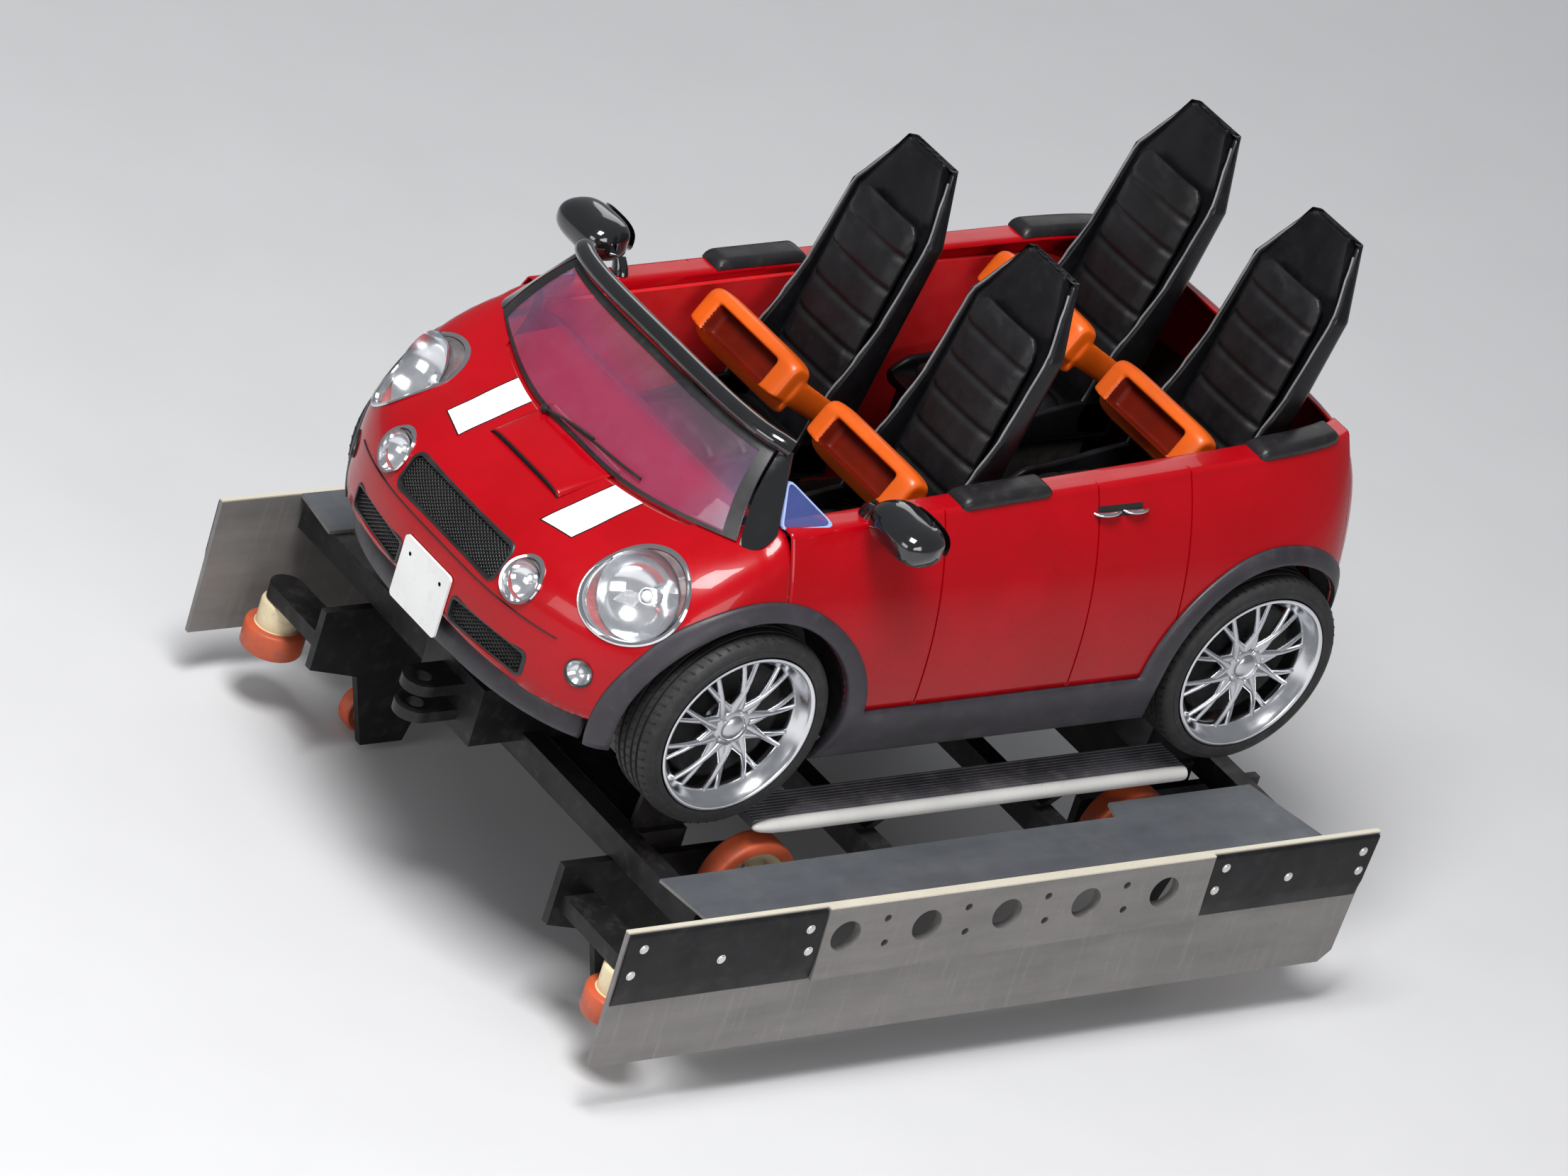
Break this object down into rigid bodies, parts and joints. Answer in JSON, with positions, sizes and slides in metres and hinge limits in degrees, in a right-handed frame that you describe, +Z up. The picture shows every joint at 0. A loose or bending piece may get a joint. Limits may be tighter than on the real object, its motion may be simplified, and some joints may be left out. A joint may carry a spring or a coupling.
{
  "type": "roller coaster car",
  "caption": "Open roller coaster car shaped as a small hatchback with bucket seats, lap bars and wheel carriers for tubular rails.",
  "frame": {"origin": "centre of the bounding box, at the level of the lowest wheels", "axes": "+X is forward, +Y is to the left of the car and +Z is up"},
  "size_m": [2.2419, 1.6666, 1.6432],
  "materials": {
    "body_red": "red gloss paint on moulded panels",
    "trim_dark": "dark grey grained plastic",
    "grille_dark": "dark open grille",
    "cockpit_black": "black satin plastic",
    "frame_black": "black painted steel",
    "strap_black": "black painted plate",
    "fin_grey": "grey painted plate with dust on it",
    "step_tread": "ribbed tread with a bare metal nosing",
    "rim_silver": "silver cast spokes",
    "tyre_black": "black rubber",
    "tread_red": "red-brown rolling treads on cream hubs",
    "lap_bar_orange": "orange moulded foam over a tube",
    "seat_shell": "black moulded shell",
    "seat_pad": "black padded covering",
    "pad_black": "black soft pad",
    "mirror_shell": "black gloss shell",
    "plate_white": "blank white plate",
    "lamp_clear": "clear lens over a bright reflector",
    "lamp_red": "red lens",
    "screen_glass": "clear curved screen"
  },
  "bodies": {
    "car": {"chassis": "frame_black", "axle_front": "frame_black", "axle_rear": "frame_black", "nose": "body_red", "side_left": "body_red", "side_right": "body_red", "tail": "body_red", "tub": "cockpit_black", "cladding_left": "trim_dark", "cladding_right": "trim_dark", "lip_front": "trim_dark", "lip_rear": "trim_dark", "grille": "grille_dark", "headlamps": "lamp_clear", "driving_lamps": "lamp_clear", "marker_lamps": "lamp_clear", "tail_lamps": "lamp_red", "windscreen": "screen_glass", "screen_frame": "cockpit_black", "mirrors": "mirror_shell", "sill_pads": "pad_black", "dashboard": "cockpit_black", "number_plates": "plate_white", "seat_fl": "seat_shell", "seat_fr": "seat_shell", "seat_rl": "seat_shell", "seat_rr": "seat_shell", "seat_pads": "seat_pad", "steps": "step_tread", "fin_left": "fin_grey", "fin_right": "fin_grey", "fin_straps": "strap_black"},
    "road_wheel_fl": {"rim_fl": "rim_silver", "tyre_fl": "tyre_black"},
    "run_wheel_fl": {"run_wheel_fl": "tread_red"},
    "guide_wheel_fl": {"guide_wheel_fl": "tread_red"},
    "upstop_wheel_fl": {"upstop_wheel_fl": "tread_red"},
    "lap_bar_fl": {"lap_bar_fl": "lap_bar_orange"},
    "road_wheel_fr": {"rim_fr": "rim_silver", "tyre_fr": "tyre_black"},
    "run_wheel_fr": {"run_wheel_fr": "tread_red"},
    "guide_wheel_fr": {"guide_wheel_fr": "tread_red"},
    "upstop_wheel_fr": {"upstop_wheel_fr": "tread_red"},
    "lap_bar_fr": {"lap_bar_fr": "lap_bar_orange"},
    "road_wheel_rl": {"rim_rl": "rim_silver", "tyre_rl": "tyre_black"},
    "run_wheel_rl": {"run_wheel_rl": "tread_red"},
    "guide_wheel_rl": {"guide_wheel_rl": "tread_red"},
    "upstop_wheel_rl": {"upstop_wheel_rl": "tread_red"},
    "lap_bar_rl": {"lap_bar_rl": "lap_bar_orange"},
    "road_wheel_rr": {"rim_rr": "rim_silver", "tyre_rr": "tyre_black"},
    "run_wheel_rr": {"run_wheel_rr": "tread_red"},
    "guide_wheel_rr": {"guide_wheel_rr": "tread_red"},
    "upstop_wheel_rr": {"upstop_wheel_rr": "tread_red"},
    "lap_bar_rr": {"lap_bar_rr": "lap_bar_orange"}
  },
  "joints": [
    {"name": "road_spin_fl", "type": "hinge", "parent": "car", "child": "road_wheel_fl", "pos_m": [0.69, 0.53, 0.755], "axis": [0, 1, 0], "continuous": true},
    {"name": "run_spin_fl", "type": "hinge", "parent": "car", "child": "run_wheel_fl", "pos_m": [0.513, 0.56, 0.344], "axis": [0, 1, 0], "continuous": true},
    {"name": "guide_spin_fl", "type": "hinge", "parent": "car", "child": "guide_wheel_fl", "pos_m": [0.88, 0.693, 0.174], "axis": [0, 0, 1], "continuous": true},
    {"name": "upstop_spin_fl", "type": "hinge", "parent": "car", "child": "upstop_wheel_fl", "pos_m": [0.69, 0.56, 0.055], "axis": [0, 1, 0], "continuous": true},
    {"name": "lap_bar_hinge_fl", "type": "hinge", "parent": "car", "child": "lap_bar_fl", "pos_m": [-0.02, 0.226, 0.985], "axis": [0, -1, 0], "range_deg": [-12, 34]},
    {"name": "road_spin_fr", "type": "hinge", "parent": "car", "child": "road_wheel_fr", "pos_m": [0.69, -0.53, 0.755], "axis": [0, 1, 0], "continuous": true},
    {"name": "run_spin_fr", "type": "hinge", "parent": "car", "child": "run_wheel_fr", "pos_m": [0.513, -0.56, 0.344], "axis": [0, 1, 0], "continuous": true},
    {"name": "guide_spin_fr", "type": "hinge", "parent": "car", "child": "guide_wheel_fr", "pos_m": [0.88, -0.693, 0.174], "axis": [0, 0, 1], "continuous": true},
    {"name": "upstop_spin_fr", "type": "hinge", "parent": "car", "child": "upstop_wheel_fr", "pos_m": [0.69, -0.56, 0.055], "axis": [0, 1, 0], "continuous": true},
    {"name": "lap_bar_hinge_fr", "type": "hinge", "parent": "car", "child": "lap_bar_fr", "pos_m": [-0.02, -0.226, 0.985], "axis": [0, -1, 0], "range_deg": [-12, 34]},
    {"name": "road_spin_rl", "type": "hinge", "parent": "car", "child": "road_wheel_rl", "pos_m": [-0.69, 0.53, 0.755], "axis": [0, 1, 0], "continuous": true},
    {"name": "run_spin_rl", "type": "hinge", "parent": "car", "child": "run_wheel_rl", "pos_m": [-0.513, 0.56, 0.344], "axis": [0, 1, 0], "continuous": true},
    {"name": "guide_spin_rl", "type": "hinge", "parent": "car", "child": "guide_wheel_rl", "pos_m": [-0.88, 0.693, 0.174], "axis": [0, 0, 1], "continuous": true},
    {"name": "upstop_spin_rl", "type": "hinge", "parent": "car", "child": "upstop_wheel_rl", "pos_m": [-0.69, 0.56, 0.055], "axis": [0, 1, 0], "continuous": true},
    {"name": "lap_bar_hinge_rl", "type": "hinge", "parent": "car", "child": "lap_bar_rl", "pos_m": [-0.79, 0.226, 1.02], "axis": [0, -1, 0], "range_deg": [-12, 34]},
    {"name": "road_spin_rr", "type": "hinge", "parent": "car", "child": "road_wheel_rr", "pos_m": [-0.69, -0.53, 0.755], "axis": [0, 1, 0], "continuous": true},
    {"name": "run_spin_rr", "type": "hinge", "parent": "car", "child": "run_wheel_rr", "pos_m": [-0.513, -0.56, 0.344], "axis": [0, 1, 0], "continuous": true},
    {"name": "guide_spin_rr", "type": "hinge", "parent": "car", "child": "guide_wheel_rr", "pos_m": [-0.88, -0.693, 0.174], "axis": [0, 0, 1], "continuous": true},
    {"name": "upstop_spin_rr", "type": "hinge", "parent": "car", "child": "upstop_wheel_rr", "pos_m": [-0.69, -0.56, 0.055], "axis": [0, 1, 0], "continuous": true},
    {"name": "lap_bar_hinge_rr", "type": "hinge", "parent": "car", "child": "lap_bar_rr", "pos_m": [-0.79, -0.226, 1.02], "axis": [0, -1, 0], "range_deg": [-12, 34]}
  ]
}
